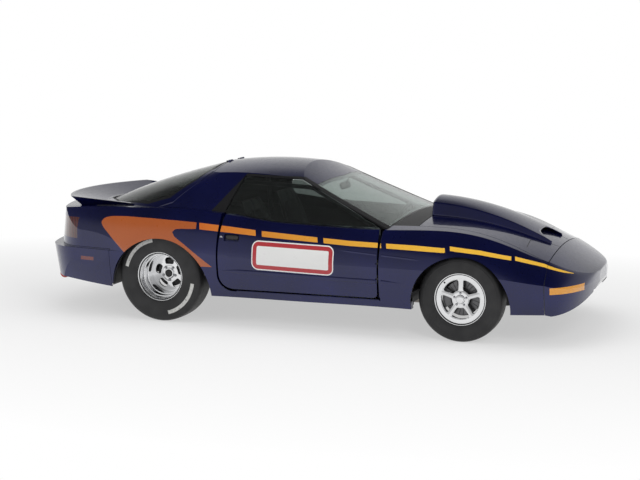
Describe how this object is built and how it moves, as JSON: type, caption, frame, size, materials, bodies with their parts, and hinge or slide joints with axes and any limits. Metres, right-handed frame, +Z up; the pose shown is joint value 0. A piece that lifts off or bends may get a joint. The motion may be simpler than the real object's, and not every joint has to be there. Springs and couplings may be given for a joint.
{
  "type": "drag racing car",
  "caption": "Hatchback drag racing coupe with hood scoop, big rear slicks, wheelie bar, roll cage, opening doors, hood and hatch, and steered front wheels.",
  "frame": {"origin": "on the ground, under the middle of the car's length and width", "axes": "+X forward, +Y to the car's left, +Z up"},
  "size_m": [4.796, 1.8826, 1.3219],
  "materials": {
    "body_paint": "gloss",
    "glass": "gloss",
    "polished": "polished",
    "tyre": "matte",
    "iron": "satin",
    "seat_black": "matte",
    "black_trim": "matte",
    "red_lens": "gloss",
    "amber_lens": "gloss",
    "dark_steel": "satin",
    "red_roller": "satin"
  },
  "bodies": {
    "chassis": {"unibody": "dark_steel", "cowl": "black_trim", "front_fascia": "body_paint", "front_markers": "amber_lens", "rear_fascia": "body_paint", "rear_markers": "red_lens", "tail_lamps": "red_lens", "roof_frame": "body_paint", "windshield": "glass", "door_hinges": "dark_steel", "engine_block": "iron", "gearbox": "iron", "driveshaft": "dark_steel", "rear_axle": "dark_steel", "front_arms": "dark_steel", "dashboard": "black_trim", "steering_wheel": "black_trim", "roll_cage": "dark_steel", "exhaust": "dark_steel", "wheelie_bar": "dark_steel", "front_fender_right": "body_paint", "quarter_panel_right": "body_paint", "rocker_right": "body_paint", "seat_right": "seat_black", "front_fender_left": "body_paint", "quarter_panel_left": "body_paint", "rocker_left": "body_paint", "seat_left": "seat_black"},
    "hood": {"hood": "body_paint", "hood_scoop": "body_paint"},
    "hatch": {"hatch": "body_paint", "hatch_glass": "glass", "spoiler": "body_paint"},
    "wheelie_roller": {"wheelie_wheel": "red_roller"},
    "door_right": {"door_right": "body_paint", "door_glass_right": "glass"},
    "steering_right": {"knuckle_right": "iron"},
    "front_wheel_right": {"front_rim_right": "polished", "front_tyre_right": "tyre", "brake_disc_right": "iron"},
    "rear_wheel_right": {"rear_rim_right": "polished", "rear_tyre_right": "tyre"},
    "door_left": {"door_left": "body_paint", "door_glass_left": "glass"},
    "steering_left": {"knuckle_left": "iron"},
    "front_wheel_left": {"front_rim_left": "polished", "front_tyre_left": "tyre", "brake_disc_left": "iron"},
    "rear_wheel_left": {"rear_rim_left": "polished", "rear_tyre_left": "tyre"}
  },
  "joints": [
    {"name": "hood_lift", "type": "slide", "parent": "chassis", "child": "hood", "axis": [0, 0, 1], "range_m": [0, 0.5]},
    {"name": "hatch_hinge", "type": "hinge", "parent": "chassis", "child": "hatch", "pos_m": [-0.799, 0, 1.29588], "axis": [0, 1, 0], "range_deg": [0, 50]},
    {"name": "wheelie_roller_spin", "type": "hinge", "parent": "chassis", "child": "wheelie_roller", "pos_m": [-2.349, 0, 0.265], "axis": [0, 1, 0], "continuous": true},
    {"name": "door_right_hinge", "type": "hinge", "parent": "chassis", "child": "door_right", "pos_m": [0.788, -0.913, 0.54], "axis": [0, 0, 1], "range_deg": [0, 65]},
    {"name": "steer_right", "type": "hinge", "parent": "chassis", "child": "steering_right", "pos_m": [1.434, -0.68, 0.338], "axis": [0, 0, 1], "range_deg": [-30, 30]},
    {"name": "front_wheel_right_spin", "type": "hinge", "parent": "steering_right", "child": "front_wheel_right", "pos_m": [1.434, -0.75, 0.338], "axis": [0, 1, 0], "continuous": true},
    {"name": "rear_wheel_right_spin", "type": "hinge", "parent": "chassis", "child": "rear_wheel_right", "pos_m": [-1.134, -0.747, 0.382], "axis": [0, 1, 0], "continuous": true},
    {"name": "door_left_hinge", "type": "hinge", "parent": "chassis", "child": "door_left", "pos_m": [0.788, 0.913, 0.54], "axis": [0, 0, -1], "range_deg": [0, 65]},
    {"name": "steer_left", "type": "hinge", "parent": "chassis", "child": "steering_left", "pos_m": [1.434, 0.68, 0.338], "axis": [0, 0, 1], "range_deg": [-30, 30]},
    {"name": "front_wheel_left_spin", "type": "hinge", "parent": "steering_left", "child": "front_wheel_left", "pos_m": [1.434, 0.75, 0.338], "axis": [0, 1, 0], "continuous": true},
    {"name": "rear_wheel_left_spin", "type": "hinge", "parent": "chassis", "child": "rear_wheel_left", "pos_m": [-1.134, 0.747, 0.382], "axis": [0, 1, 0], "continuous": true}
  ],
  "couplings": [
    {"joint": "steer_right", "follows": "steer_left", "ratio": 1}
  ]
}
